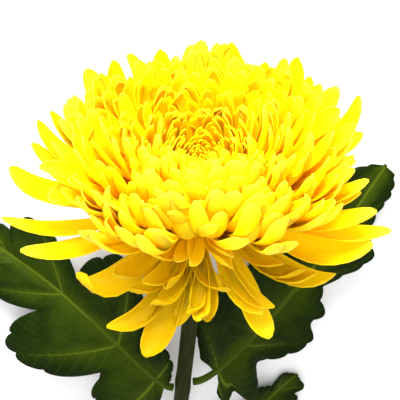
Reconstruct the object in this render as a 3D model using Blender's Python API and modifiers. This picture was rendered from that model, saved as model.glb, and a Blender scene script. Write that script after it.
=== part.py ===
"""A cut decorative chrysanthemum lying on a surface.

The bloom rests on its rear petals, the stem runs back to its cut end, and the leaves spread
to both sides. Lengths are in millimetres inside the functions and leave them as metres.
"""
import math
import random

import bmesh
import bpy
from mathutils import Vector

MM = 0.001
NAME = "cut_chrysanthemum"

# Where the bloom sits: the receptacle's middle, and the bloom's axis above the horizontal
RECEPTACLE = Vector((0.0, 0.0, 46.0))
BLOOM_TILT = math.radians(17)
AXIS = Vector((0.0, math.cos(BLOOM_TILT), math.sin(BLOOM_TILT)))
SIDE = Vector((1.0, 0.0, 0.0))
TOP = SIDE.cross(AXIS)
GAP = 0.3

# The flower is built with its receptacle over x = y = 0, then moved so that the middle of
# its footprint is the origin
SET_DOWN = Vector((10.53, 69.34, 0.0))

# Petals and leaves sink softly towards the surface instead of passing through it
PETAL_SOFT = 6.0
PETAL_REACH = 6.5
LEAF_SOFT = 3.0
LEAF_REACH = 3.2

# The bloom: a domed receptacle, and petals in the sunflower's spiral from eye to rim
GOLDEN = math.radians(137.50776)
DOME_R = 12.0
DOME_H = 9.0
CORE = ((0, -3.6), (9.4, -3.4), (14.2, -1.2), (14.6, 3.0), (11.5, 8.2), (6.4, 11.2), (0, 12.0))
CORE_SIDES = 15
SPIRAL_COUNT = 350
EYE_END = 0.05
RIM_START = 0.80
INNER_STEP = 4
PETAL_THICK = 1.3
SEED = 4

# How a petal changes from the eye (0) to the rim (1): millimetres and degrees from the axis
PLACES = (0, 0.04, 0.10, 0.20, 0.35, 0.50, 0.65, 0.80, 0.92, 1.0)
LENGTH = (7.5, 9, 12, 17, 23.5, 30, 36.5, 41.5, 45, 48)
WIDTH = (1.4, 1.9, 2.8, 4.4, 6.4, 8.0, 9.2, 10.2, 10.8, 10.8)
BASE_ANGLE = (5, 15, 27, 40, 52, 61, 71, 81, 92, 104)
TIP_ANGLE = (-20, -30, -34, -30, -20, -8, 4, 16, 30, 46)
CUP_ANGLE = (50, 55, 62, 72, 80, 84, 84, 80, 70, 60)
CLAW = 0.26
WIDEST = 0.60

# The reflexed petals under the rim, each posed by hand: where it points round the bloom,
# length, width, base and tip angle from the axis, lean, twist, how late it bends, and
# bluntness of its tip
OUTER_PETALS = (
    (253, 44.3, 12.2, 134, 142, -0.25, 0.05, 1.5, 4.4),
    (248.9, 43.1, 9.5, 138, 108, -0.75, 0.35, 1.5, 2.2),
    (212.7, 43.5, 12.4, 133, 6, 0.1, 0, 1.7, 2.4),
    (225.1, 26.9, 13, 136, 60, -0.1, 0.1, 1.3, 3.2),
    (239.8, 26, 11, 140, 80, -0.4, 0.3, 1.3, 1.6),
    (257.5, 25.7, 9, 142, 70, -0.5, 0.2, 1.3, 2.2),
    (264.1, 26.9, 7, 140, 84, 1.1, 0.5, 1.5, 3.2),
    (271.4, 29, 10, 138, 90, -0.1, -0.4, 1.8, 2.4),
    (267.7, 31.9, 6, 136, 132, -0.4, 0.3, 1.5, 1.8),
    (273.2, 29.7, 11, 136, 134, 0, 0, 1.5, 3),
    (288.8, 32.5, 9, 134, 112, 0.5, -0.1, 1.5, 2.8),
    (292.7, 32.8, 9, 132, 108, 0.6, -0.2, 1.5, 1.9),
    (300.3, 40.1, 10.5, 134, 138, 0.1, 0.1, 1.5, 4.4),
    (308.3, 25.4, 8, 136, 60, 0.6, 0.2, 1.6, 3),
    (314.7, 33.1, 11, 141, 40, 0.45, 0.2, 1.6, 2),
    (317.6, 36.4, 11, 140, 46, 0.45, 0, 1.6, 2.4),
    (322.4, 42.2, 11.5, 139, 50, 0.4, 0, 1.6, 1.8),
    (337.7, 50.1, 13.5, 126, 30, 0, 0, 1.5, 2.6),
    (343.5, 49.8, 9, 104, 56, 0, 0.1, 1.7, 2.6),
    (341.2, 46.2, 9.5, 98, 40, 0.1, 0, 1.7, 3.6),
    (349.5, 40.5, 7.5, 92, 40, 0, 0, 1.7, 1.7),
    (350.8, 43.9, 9, 88, 34, 0, 0.1, 1.7, 2.8),
    (6.7, 42.2, 9, 84, 20, 0, 0, 1.7, 2.4),
    (15.8, 53.5, 9.5, 82, 0, 0, 0, 1.7, 3),
    (27, 48, 8, 78, 4, -0.1, 0, 1.7, 2.4),
    (47.6, 49.4, 9, 80, -6, 0, 0, 1.8, 3),
    (47.3, 42.4, 7.5, 76, -2, 0, 0, 1.8, 3),
    (59.1, 42.3, 8.5, 76, -2, 0, 0, 1.8, 3),
    (76.3, 46.8, 9, 78, -6, 0, 0, 1.8, 3.2),
    (84, 43, 7.5, 76, -8, 0, 0, 1.8, 2.8),
    (98.6, 39.4, 8, 76, -4, 0, 0, 1.8, 2.8),
    (107.7, 44.8, 8.5, 78, -6, 0, 0, 1.8, 3),
    (128.5, 46.6, 8.5, 80, -4, 0, 0, 1.8, 3),
    (138.9, 44, 8, 78, 0, 0, 0, 1.8, 3),
    (169.2, 48.4, 8.5, 84, 14, 0, 0, 1.7, 3),
    (175, 46.5, 8.5, 88, 24, 0, 0, 1.7, 2.8),
    (181.1, 50.3, 10.5, 92, 40, 0, 0.1, 1.7, 2.6),
    (187.7, 36.4, 9.5, 90, 46, 0, 0, 1.7, 2.6),
    (187, 54.2, 7.5, 120, 44, 0, 0.1, 1.6, 1.7),
    (194.4, 49.9, 8.5, 128, 56, 0, 0.2, 1.6, 1.8),
)
# From this place on, the spiral's petals are kept only on the surface side (the sine of
# where they point round the bloom): the others are the ones posed by hand
HAND_POSED_FROM = 0.86
HAND_POSED_SINE = 0.35

# The short curled petals between the dome and the reflexed layer, over degrees round
CURLED_COUNT = 5
CURLED_FROM = 196
CURLED_SPAN = 148

# Where a petal's body is cut across: near the eye, inside, and on the outside
INNER_END = 0.35
EYE_STATIONS = (0.72,)
INNER_STATIONS = (0.45, 0.84)
RIM_STATIONS = (0.34, 0.66, 0.89)

# The calyx: a green cup of overlapping bracts behind the petals
CUP_PROFILE = ((0, -11.4), (3.4, -11.4), (5.0, -9.8), (7.8, -6.6), (9.0, -4.6), (8.2, -3.9),
               (0, -3.9))
CUP_SIDES = 16
# Rows of bracts: how many, radius and height of the root, length, angle from the axis
BRACT_ROWS = ((11, 7.5, -8.0, 6.2, 52), (9, 5.4, -9.6, 6.6, 42))
BRACT_WIDTH = 3.6
BRACT_THICK = 0.9
BRACT_ROOT = 2.0
BRACT_CURVE = 14
BRACT_STATIONS = (0.4, 0.75)

# The stem, from the calyx down to the cut
STEM_PATH = ((0, -11.4, 42.5), (-2.6, -58, 27.5), (-8, -112, 8.6), (-12.5, -176, 2.9))
STEM_R = 2.8
NECK_R = 3.2
STEM_POINTS = 16

# Leaves: node, fraction along the stem, side, tip, sag of the middle, sideways bow, blade
# length, widening, share of the half next to the bloom, and wave
LEAVES = (
    ("leaf_left_upper", 0.57, -1, (-84, -38, 0.6), 7, 9, 94, 1.04, 0.84, 0.0),
    ("leaf_right_upper", 0.545, 1, (64.5, -12, 0.8), 8, -9, 99, 1.0, 1.0, 1.3),
    ("leaf_right_lower", 0.86, 1, (37.6, -103.5, 0.4), 3, 0, 60, 0.86, 0.7, 2.2),
    ("leaf_left_lower", 0.82, -1, (-57, -142, 0.4), 3, 0, 42, 0.90, 0.7, 0.7),
)
# A leaf's lobes from base to tip: start and end along the midrib, how far the lobe reaches
# in blade lengths, the lateral veins' angle there, and how far its notch comes in
LOBES = (
    (0.00, 0.18, 0.28, 112, 80, 0.05),
    (0.18, 0.48, 0.37, 74, 52, 0.13),
    (0.48, 0.77, 0.29, 52, 40, 0.15),
    (0.77, 1.00, 0.15, 48, 44, 0.12),
)
LOBE_ROWS = 6
# The broad leaf beside the stem has lobes of its own. Rows of midrib place, then the lateral
# vein's angle and the reach in millimetres, for the outer half and the half next to the bloom
BROAD_LEAF = "leaf_right_upper"
BROAD_ROWS = (
    (0.00, 125, 3.4, 100, 3.4), (0.02, 142, 9.5, 108, 8.3), (0.035, 130, 15.4, 100, 11.1),
    (0.055, 124, 12.2, 91, 14.6), (0.075, 114, 19.0, 86, 18.0),
    (0.105, 106, 15.5, 82, 21.1), (0.14, 103, 8.4, 79, 22.5), (0.18, 101, 10.9, 77, 21.0),
    (0.22, 96, 13.6, 75, 19.4), (0.27, 92, 16.1, 74, 17.4), (0.31, 86, 17.1, 73, 20.0),
    (0.34, 79, 12.6, 73, 22.0), (0.37, 71, 14.7, 72, 21.7), (0.42, 62, 10.0, 70, 21.3),
    (0.47, 60, 8.0, 69, 18.6), (0.52, 64, 11.3, 68, 15.6), (0.57, 67, 15.2, 67, 11.3),
    (0.62, 64, 17.2, 66, 10.3), (0.68, 56, 12.0, 65, 11.8), (0.74, 51, 10.4, 62, 13.0),
    (0.81, 51, 9.6, 64, 11.7), (0.89, 56, 8.0, 67, 9.8), (0.96, 60, 5.0, 67, 4.6),
    (1.00, 60, 0.0, 66, 0.0),
)
LEAF_COLUMNS = 4
TOOTH = 0.016
TIP_ROUND = 1.3
# The half next to the bloom starts narrow and reaches its full share after the first lobe
INNER_BASE = 0.3
INNER_GROWTH = 2.4
# The half blade rises from the midrib and droops again, with a wave along its edge
LIFT = 0.16
DROOP = 0.0042
WAVE = 1.3
WAVES = 11
BLADE_THICK = 0.8
KEEL = 1.1
KEEL_MOST = 0.9
STALK_UNDER = 0.06
PETIOLE_R = 1.5
STALK_POINTS = 7


def at(values, place):
    """The value at a place between the eye and the rim."""
    for low, high, a, b in zip(PLACES, PLACES[1:], values, values[1:]):
        if place <= high:
            return a + (b - a) * (place - low) / (high - low)
    return values[-1]


def above_floor(point, soft=PETAL_SOFT, reach=PETAL_REACH):
    """Press what comes below the soft height gently flat, over a reach a little longer."""
    if point.z < soft:
        point.z = soft - reach * (1 - math.exp((point.z - soft) / reach))
    return point


def from_bloom(x, y, z):
    """The bloom's own frame, x to the side, y towards the surface and z its axis."""
    return RECEPTACLE + SIDE * x - TOP * y + AXIS * z


def spiral_petal(index):
    """One petal of the spiral; its small irregularities are drawn from its own number."""
    draw = random.Random(SEED * 1000 + index)
    place = (index + 0.5) / SPIRAL_COUNT
    round_angle = (index * GOLDEN) % (2 * math.pi)
    grade = min(1.0, place * 3)
    return {
        "round": round_angle + draw.gauss(0, 0.06),
        "place": place,
        "root_r": DOME_R * math.sqrt(place),
        "root_h": DOME_H * (1 - place) - 1.0,
        "length": at(LENGTH, place) * (1 + draw.gauss(0, 0.055)),
        "width": at(WIDTH, place) * (1 + draw.gauss(0, 0.09)),
        "base": math.radians(at(BASE_ANGLE, place) + draw.gauss(0, 4)),
        "tip": math.radians(at(TIP_ANGLE, place) + draw.gauss(0, 13) * grade),
        "cup": math.radians(at(CUP_ANGLE, place) + draw.gauss(0, 9)),
        "lean": (draw.gauss(0, 0.16) + 0.16 * math.cos(5 * round_angle + 9 * place)) * grade,
        "twist": draw.gauss(0, 0.28) * grade,
        "bend": 1.5 + draw.random() * 1.1,
        "blunt": 2.0 + draw.random() * 1.4,
    }


def outer_petal(row):
    """One hand-posed petal of the reflexed layer."""
    degrees_round, length, width, base, tip, lean, twist, bend, blunt = row
    return {
        "round": math.radians(degrees_round), "place": 0.9,
        "root_r": DOME_R * 0.93, "root_h": -1.5, "length": length, "width": width,
        "base": math.radians(base), "tip": math.radians(tip), "cup": math.radians(62),
        "lean": lean, "twist": twist, "bend": bend, "blunt": blunt,
    }


def curled_petal(index):
    """A short curled petal in the gap between the dome and the reflexed layer."""
    draw = random.Random(SEED * 2000 + index)
    step = (index + draw.random()) / CURLED_COUNT
    return {
        "round": math.radians(CURLED_FROM + CURLED_SPAN * step), "place": 0.93,
        "root_r": DOME_R * 0.9, "root_h": -0.6 - 1.2 * draw.random(),
        "length": 24 + 12 * draw.random(), "width": 6.5 + 3.5 * draw.random(),
        "base": math.radians(94 + 26 * draw.random()),
        "tip": math.radians(20 + 90 * draw.random()),
        "cup": math.radians(70 + 30 * draw.random()), "lean": draw.gauss(0, 0.35),
        "twist": draw.gauss(0, 0.5), "bend": 1.5 + 1.2 * draw.random(),
        "blunt": 1.8 + 1.4 * draw.random(),
    }


def bloom_petals():
    """Every eye and rim petal, and one in a few of the crowded ones between."""
    chosen = []
    for index in range(SPIRAL_COUNT):
        petal = spiral_petal(index)
        if petal["place"] > HAND_POSED_FROM and math.sin(petal["round"]) < HAND_POSED_SINE:
            continue
        if EYE_END < petal["place"] < RIM_START and index % INNER_STEP:
            continue
        chosen.append(petal)
    chosen.extend(curled_petal(index) for index in range(CURLED_COUNT))
    chosen.extend(outer_petal(row) for row in OUTER_PETALS)
    return chosen


def half_width(petal, s):
    """Narrow claw, widest past the middle, rounded tip."""
    if s < WIDEST:
        k = s / WIDEST
        k = k * k * (3 - 2 * k)
        return petal["width"] / 2 * (CLAW + (1 - CLAW) * k)
    x = (s - WIDEST) / (1 - WIDEST)
    return petal["width"] / 2 * max(0.0, 1 - x ** petal["blunt"]) ** 0.55


def direction(petal, s):
    """The petal's tangent: it leaves at its base angle and bends to its tip angle."""
    bent = petal["base"] + (petal["tip"] - petal["base"]) * s ** petal["bend"]
    aside = petal["lean"] * s * s * 1.5
    along = Vector((math.sin(bent) * math.cos(aside), math.sin(aside),
                    math.cos(bent) * math.cos(aside)))
    inward = Vector((-math.cos(bent), 0.0, math.sin(bent)))
    inward = (inward - along * inward.dot(along)).normalized()
    return along, inward


def middle_line(petal, steps=24):
    points = [Vector((petal["root_r"], 0.0, petal["root_h"]))]
    for k in range(steps):
        along, _ = direction(petal, (k + 0.5) / steps)
        points.append(points[-1] + along * petal["length"] / steps)
    return points


def petal_point(petal, line, s, q, out):
    """A point of the petal at s along it and q across it, `out` millimetres off its face."""
    x = s * (len(line) - 1)
    k = min(int(x), len(line) - 2)
    centre = line[k].lerp(line[k + 1], x - k)
    along, inward = direction(petal, s)
    aside = inward.cross(along)
    twist = petal["twist"] * s
    inner = inward * math.cos(twist) + aside * math.sin(twist)
    across = aside * math.cos(twist) - inward * math.sin(twist)
    reach = half_width(petal, s)
    cup = petal["cup"] * (1.3 - 0.75 * s + 0.55 * s ** 4)
    angle = cup * q
    point = (centre + across * (reach / cup * math.sin(angle))
             + inner * (reach / cup * (1 - math.cos(angle)) + out))
    cos_r, sin_r = math.cos(petal["round"]), math.sin(petal["round"])
    turned = (point.x * cos_r - point.y * sin_r, point.x * sin_r + point.y * cos_r, point.z)
    return above_floor(from_bloom(*turned))


def new_material(name, colour, roughness):
    material = bpy.data.materials.new(name)
    material.use_nodes = True
    shader = material.node_tree.nodes["Principled BSDF"]
    shader.inputs["Base Color"].default_value = (*colour, 1)
    shader.inputs["Roughness"].default_value = roughness
    shader.inputs["Metallic"].default_value = 0.0
    return material


def object_from(bm, name, collection, flip=True):
    """Finish a bmesh: normals out on a closed one, millimetres to metres."""
    if flip:
        bmesh.ops.recalc_face_normals(bm, faces=bm.faces)
    bmesh.ops.translate(bm, vec=SET_DOWN, verts=bm.verts)
    bmesh.ops.scale(bm, vec=(MM, MM, MM), verts=bm.verts)
    mesh = bpy.data.meshes.new(name)
    bm.to_mesh(mesh)
    bm.free()
    obj = bpy.data.objects.new(name, mesh)
    collection.objects.link(obj)
    return obj


def spike(stations, sides):
    """A closed spike along z from 0 to 1, cut across at the stations."""
    bm = bmesh.new()
    bmesh.ops.create_cone(bm, cap_ends=True, segments=sides, radius1=1, radius2=0, depth=1)
    bmesh.ops.translate(bm, vec=(0, 0, 0.5), verts=bm.verts)
    bmesh.ops.remove_doubles(bm, verts=bm.verts, dist=1e-5)
    for s in stations:
        bmesh.ops.bisect_plane(bm, geom=bm.verts[:] + bm.edges[:] + bm.faces[:],
                               plane_co=(0, 0, s), plane_no=(0, 0, 1))
    walls = [f for f in bm.faces if sides == 4 and len(f.verts) == 4 and abs(f.normal.z) < 0.9]
    for face in walls:
        # the same diagonal on both faces of the blade, so that they never cross
        low = [v for v in face.verts if v.co.z < face.calc_center_median().z]
        rim = max(low, key=lambda v: abs(v.co.x))
        ridge = min((v for v in face.verts if v not in low), key=lambda v: abs(v.co.x))
        bmesh.utils.face_split(face, rim, ridge)
    bmesh.ops.triangulate(bm, faces=bm.faces)
    return bm


def bend_to_petal(bm, petal, thick):
    """Move a spike's vertices to the petal: z runs along it, x across and y off its face."""
    line = middle_line(petal)
    for vert in bm.verts:
        s = vert.co.z
        left = max(1 - s, 1e-6)
        q = max(-1.0, min(1.0, vert.co.x / left)) if s < 1 else 0.0
        out = thick / 2 * vert.co.y / left if s < 1 else 0.0
        vert.co = petal_point(petal, line, s, q, out)


def petal_object(petal, number, collection):
    """A closed petal: its two edges are sharp, and its middle has the blade's thickness."""
    if petal["place"] < EYE_END:
        bm = spike(EYE_STATIONS, 3)
    elif petal["place"] < INNER_END:
        bm = spike(INNER_STATIONS, 4)
    else:
        bm = spike(RIM_STATIONS, 4)
    bend_to_petal(bm, petal, min(PETAL_THICK, 0.5 * petal["width"]))
    return object_from(bm, f"petal_{number:03d}", collection)


def turned_solid(profile, sides, name, collection):
    """A solid turned round the bloom's axis from a profile of (radius, height)."""
    bm = bmesh.new()
    verts = [bm.verts.new((r, 0, h)) for r, h in profile]
    edges = [bm.edges.new(pair) for pair in zip(verts, verts[1:])]
    bmesh.ops.spin(bm, geom=verts + edges, cent=(0, 0, 0), axis=(0, 0, 1),
                   angle=2 * math.pi, steps=sides, use_merge=True)
    bmesh.ops.remove_doubles(bm, verts=bm.verts, dist=1e-4)
    bmesh.ops.triangulate(bm, faces=bm.faces)
    for vert in bm.verts:
        vert.co = from_bloom(*vert.co)
    return object_from(bm, name, collection)


def apply_modifiers(obj):
    view = bpy.context.evaluated_depsgraph_get()
    mesh = bpy.data.meshes.new_from_object(obj.evaluated_get(view))
    obj.modifiers.clear()
    old = obj.data
    obj.data = mesh
    bpy.data.meshes.remove(old)
    mesh.name = obj.name


def fuse(base, collection, solver="EXACT"):
    """Join a collection's closed solids to the base solid, and drop them."""
    union = base.modifiers.new("union", "BOOLEAN")
    union.operation = "UNION"
    union.operand_type = "COLLECTION"
    union.collection = collection
    union.solver = solver
    apply_modifiers(base)
    for piece in list(collection.objects):
        bpy.data.objects.remove(piece)
    bpy.data.collections.remove(collection)


def largest_body(obj):
    """Keep the main body, and drop loose scraps that a union leaves."""
    bm = bmesh.new()
    bm.from_mesh(obj.data)
    bmesh.ops.remove_doubles(bm, verts=bm.verts, dist=1e-6)
    left = set(bm.verts)
    bodies = []
    while left:
        seed = left.pop()
        body, front = {seed}, [seed]
        while front:
            vert = front.pop()
            for edge in vert.link_edges:
                other = edge.other_vert(vert)
                if other not in body:
                    body.add(other)
                    front.append(other)
        left -= body
        bodies.append(body)
    main = max(bodies, key=len)
    bmesh.ops.delete(bm, geom=[v for v in bm.verts if v not in main], context="VERTS")
    bm.to_mesh(obj.data)
    bm.free()


def working_collection(name):
    collection = bpy.data.collections.new(name)
    bpy.context.scene.collection.children.link(collection)
    return collection


def make_bloom(parts):
    core = turned_solid(CORE, CORE_SIDES, "bloom", parts)
    petals = working_collection("petals")
    for number, petal in enumerate(bloom_petals()):
        petal_object(petal, number, petals)
    fuse(core, petals)
    largest_body(core)
    core.data.materials.append(new_material("petal_yellow", (0.92, 0.60, 0.01), 0.45))
    return core


def bract_object(row, step, number, collection):
    """A pointed green scale that grows out of the calyx's cup."""
    count, root_r, root_h, length, angle = row
    bract = {
        "round": 2 * math.pi * step / count, "root_r": root_r - BRACT_ROOT, "root_h": root_h,
        "length": length + BRACT_ROOT, "width": BRACT_WIDTH, "base": math.radians(angle),
        "tip": math.radians(angle + BRACT_CURVE), "cup": math.radians(60), "lean": 0.0, "twist": 0.0,
        "bend": 1.4, "blunt": 1.5,
    }
    bm = spike(BRACT_STATIONS, 4)
    bend_to_petal(bm, bract, BRACT_THICK)
    return object_from(bm, f"bract_{number:02d}", collection)


def make_calyx(parts):
    cup = turned_solid(CUP_PROFILE, CUP_SIDES, "calyx", parts)
    bracts = working_collection("bracts")
    number = 0
    for row in BRACT_ROWS:
        for step in range(row[0]):
            bract_object(row, step + 0.5 * (row[0] % 2), number, bracts)
            number += 1
    fuse(cup, bracts)
    largest_body(cup)
    cup.data.materials.append(new_material("calyx_green", (0.10, 0.19, 0.03), 0.6))
    return cup


def bezier(path, t):
    a, b, c, d = (Vector(p) for p in path)
    u = 1 - t
    return a * u ** 3 + b * 3 * u * u * t + c * 3 * u * t * t + d * t ** 3


def tube_object(points, radii, name, collection, resolution=2):
    """A closed tube along the points, in millimetres, as a mesh."""
    curve = bpy.data.curves.new(name, "CURVE")
    curve.dimensions = "3D"
    curve.bevel_depth = MM
    curve.bevel_resolution = resolution
    curve.use_fill_caps = True
    spline = curve.splines.new("POLY")
    spline.points.add(len(points) - 1)
    for knot, point, radius in zip(spline.points, points, radii):
        knot.co = (*((point + SET_DOWN) * MM), 1)
        knot.radius = radius
    holder = bpy.data.objects.new(name, curve)
    collection.objects.link(holder)
    view = bpy.context.evaluated_depsgraph_get()
    mesh = bpy.data.meshes.new_from_object(holder.evaluated_get(view))
    bpy.data.objects.remove(holder)
    bm = bmesh.new()
    bm.from_mesh(mesh)
    bmesh.ops.remove_doubles(bm, verts=bm.verts, dist=1e-6)
    bmesh.ops.triangulate(bm, faces=bm.faces)
    bmesh.ops.recalc_face_normals(bm, faces=bm.faces)
    bm.to_mesh(mesh)
    bm.free()
    mesh.name = name
    tube = bpy.data.objects.new(name, mesh)
    collection.objects.link(tube)
    return tube


def make_stem(parts):
    top = from_bloom(0, 0, CUP_PROFILE[0][1] - 2 * GAP)
    path = (top, *STEM_PATH[1:])
    points = [bezier(path, k / (STEM_POINTS - 1)) for k in range(STEM_POINTS)]
    radii = [STEM_R + (NECK_R - STEM_R) * math.exp(-6 * k / STEM_POINTS)
             for k in range(STEM_POINTS)]
    stem = tube_object(points, radii, "stem", parts, 3)
    stem.data.shade_smooth()
    stem.data.materials.append(new_material("stem_green", (0.055, 0.09, 0.02), 0.55))
    return stem


def lobed_rows(blade, widen, inner):
    """Rows of a leaf, base to tip: midrib place, then angle and reach of both halves."""
    rows = []
    for lobe, (start, end, reach, angle_0, angle_1, notch) in enumerate(LOBES):
        next_notch = LOBES[lobe + 1][5] if lobe + 1 < len(LOBES) else 0.0
        for step in range(LOBE_ROWS):
            k = step / LOBE_ROWS
            low = notch + (next_notch - notch) * k
            swell = math.sin(math.pi * k) ** 0.7
            tooth = TOOTH * (1 if step % 2 else -1) * (1 - 0.5 * start) if step else 0.0
            place = start + (end - start) * k
            out = min(low + (reach - low) * swell + tooth, TIP_ROUND * (1 - place))
            out *= blade * widen
            angle = math.radians(angle_0 + (angle_1 - angle_0) * k)
            share = inner * min(1.0, INNER_BASE + INNER_GROWTH * place)
            rows.append((place, (angle, out), (angle, out * share)))
    rows.append((1.0, (0.0, 0.0), (0.0, 0.0)))
    return rows


def broad_rows():
    """The same rows for the broad leaf, from its own table."""
    return [(place, (math.radians(outer), outer_reach), (math.radians(inner), inner_reach))
            for place, outer, outer_reach, inner, inner_reach in BROAD_ROWS]


def leaf_path(along_stem, side, tip, sag, bow, blade):
    """The petiole and midrib as one curve, from the stem's skin to the leaf's tip."""
    stem_path = (from_bloom(0, 0, CUP_PROFILE[0][1]), *STEM_PATH[1:])
    stem_point = bezier(stem_path, along_stem)
    stem_along = bezier(stem_path, along_stem - 0.01) - stem_point
    outward = stem_along.cross(Vector((0, 0, side))).normalized()
    tip = Vector(tip)
    heading = tip - stem_point
    heading.z = 0
    heading.normalize()
    start = stem_point + outward * (STEM_R + 3 * GAP)
    aside = Vector((side * -heading.y, side * heading.x, 0)) * bow
    return (start, start + outward * 9 + Vector((0, 0, 2)),
            tip - heading * blade * 0.45 + aside + Vector((0, 0, sag)), tip)


def even_steps(path, count=60):
    """Points a same distance apart along a curve, and its length."""
    fine = [bezier(path, k / 400) for k in range(401)]
    walked = [0.0]
    for a, b in zip(fine, fine[1:]):
        walked.append(walked[-1] + (b - a).length)
    points, k = [], 0
    for step in range(count + 1):
        goal = walked[-1] * step / count
        while k < len(fine) - 2 and walked[k + 1] < goal:
            k += 1
        share = (goal - walked[k]) / max(walked[k + 1] - walked[k], 1e-9)
        points.append(fine[k].lerp(fine[k + 1], min(1.0, share)))
    return points, walked[-1]


def along_line(line, share):
    """The point and direction at a share of the way along evenly spaced points."""
    x = max(0.0, min(1.0, share)) * (len(line) - 1)
    k = min(int(x), len(line) - 2)
    before, after = line[max(0, k - 1)], line[min(len(line) - 1, k + 2)]
    return line[k].lerp(line[k + 1], x - k), (after - before).normalized()


def leaf_blade(parts, name, line, petiole, side, blade, widen, inner, wave):
    """The lobed and toothed blade, thickened downwards, with a keel under its midrib."""
    rows = broad_rows() if name == BROAD_LEAF else lobed_rows(blade, widen, inner)
    bm = bmesh.new()
    bmesh.ops.create_grid(bm, x_segments=LEAF_COLUMNS, y_segments=len(rows) - 1, size=1)
    keel = bm.verts.layers.float.new("keel")
    for vert in bm.verts:
        row = round((vert.co.y + 1) / 2 * (len(rows) - 1))
        q = vert.co.x
        s, outer_half, inner_half = rows[row]
        angle, reach = inner_half if q * side < 0 else outer_half
        here, along = along_line(line, petiole + (1 - petiole) * s)
        across = along.cross(Vector((0, 0, 1))).normalized()
        normal = across.cross(along)
        out = reach * abs(q)
        lift = (LIFT * out - DROOP * out * out
                + WAVE * abs(q) * math.sin(WAVES * s + wave + 2 * q))
        if abs(q) < 0.01:
            vert[keel] = min(KEEL * (1 - s), KEEL_MOST)
        vert.co = (here + along * (out * math.cos(angle))
                   + across * (math.copysign(out, q) * math.sin(angle))
                   + normal * lift)
        above_floor(vert.co, LEAF_SOFT, LEAF_REACH)
        vert.co.z += BLADE_THICK
    bmesh.ops.remove_doubles(bm, verts=bm.verts, dist=1e-3)
    bmesh.ops.triangulate(bm, faces=bm.faces)
    if sum(face.normal.z for face in bm.faces) < 0:
        bmesh.ops.reverse_faces(bm, faces=bm.faces)
    count = len(bm.verts)
    leaf = object_from(bm, name, parts, flip=False)
    solid = leaf.modifiers.new("thickness", "SOLIDIFY")
    solid.thickness = BLADE_THICK * MM
    solid.offset = -1
    apply_modifiers(leaf)
    depths = leaf.data.attributes["keel"].data
    for under in range(count, 2 * count):
        leaf.data.vertices[under].co.z -= depths[under].value * MM
    return leaf


def make_leaf(parts, name, along_stem, side, tip, sag, bow, blade, widen, inner, wave):
    line, total = even_steps(leaf_path(along_stem, side, tip, sag, bow, blade))
    petiole = 1 - blade / total
    leaf = leaf_blade(parts, name, line, petiole, side, blade, widen, inner, wave)

    stalk = working_collection(name + "_stalk")
    shares = [k / (STALK_POINTS - 1) * (petiole + STALK_UNDER) for k in range(STALK_POINTS)]
    points = [along_line(line, share)[0] for share in shares]
    radii = [PETIOLE_R - 0.4 * k / (STALK_POINTS - 1) for k in range(STALK_POINTS)]
    tube_object(points, radii, name + "_petiole", stalk, 1)
    fuse(leaf, stalk, "MANIFOLD")
    largest_body(leaf)
    leaf.data.materials.append(new_material(name + "_green", (0.028, 0.075, 0.012), 0.5))
    return leaf


def main():
    for obj in list(bpy.data.objects):
        bpy.data.objects.remove(obj)
    parts = working_collection(NAME)
    make_bloom(parts)
    make_calyx(parts)
    make_stem(parts)
    for row in LEAVES:
        make_leaf(parts, *row)


main()
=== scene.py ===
import math
import random

import bmesh
import bpy
from mathutils import Matrix, Vector


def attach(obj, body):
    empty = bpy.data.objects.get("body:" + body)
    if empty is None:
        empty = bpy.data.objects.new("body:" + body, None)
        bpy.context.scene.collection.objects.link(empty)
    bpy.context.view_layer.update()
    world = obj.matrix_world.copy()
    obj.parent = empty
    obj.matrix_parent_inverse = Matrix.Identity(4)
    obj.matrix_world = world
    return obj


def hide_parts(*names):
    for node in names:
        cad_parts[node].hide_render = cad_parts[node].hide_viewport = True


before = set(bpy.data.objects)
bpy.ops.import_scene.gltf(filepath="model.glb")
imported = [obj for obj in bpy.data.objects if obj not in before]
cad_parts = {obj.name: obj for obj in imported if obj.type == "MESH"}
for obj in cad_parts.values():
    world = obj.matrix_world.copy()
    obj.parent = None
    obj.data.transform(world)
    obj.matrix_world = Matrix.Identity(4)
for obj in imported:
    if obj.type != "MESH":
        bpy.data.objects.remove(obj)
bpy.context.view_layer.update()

MM = 0.001

# Where the bloom sits, as in the part's source: millimetres, the bloom's axis rising from
# the horizontal, x to the side, y towards the surface and z along the axis
SET_DOWN = Vector((10.53, 69.34, 0.0))
RECEPTACLE = Vector((0.0, 0.0, 46.0))
BLOOM_TILT = math.radians(17)
AXIS = Vector((0.0, math.cos(BLOOM_TILT), math.sin(BLOOM_TILT)))
SIDE = Vector((1.0, 0.0, 0.0))
TOP = SIDE.cross(AXIS)
# What comes below the soft height is pressed flat, and ends within the reach below it
PETAL_SOFT, PETAL_REACH = 6.0, 6.5
LEAF_SOFT, LEAF_REACH = 3.0, 3.2

# The camera: above the bloom's rim, looking down on the eye. A photo pixel is PIXEL
# millimetres wide at the bloom, and the receptacle's middle shows at BLOOM_PIXEL
VIEW_RISE = math.radians(46)
VIEW_LENS = 100
VIEW_SENSOR = 36
VIEW_CLIP = (0.01, 20)
PIXEL = 0.308
BLOOM_PIXEL = (200, 195)
PHOTO_MIDDLE = 200

# Soft lights: name, place from the bloom in metres, size in metres and power in watts
LIGHTS = (
    ("key", (-0.1, 1.0, 0.3), 0.6, 38),
    ("top", (0.0, 0.5, 1.0), 0.8, 5),
    ("low", (0.1, -0.8, 0.7), 0.9, 2.5),
)
WORLD_LIGHT = 0.8
FLOOR_HALF = 3

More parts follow.
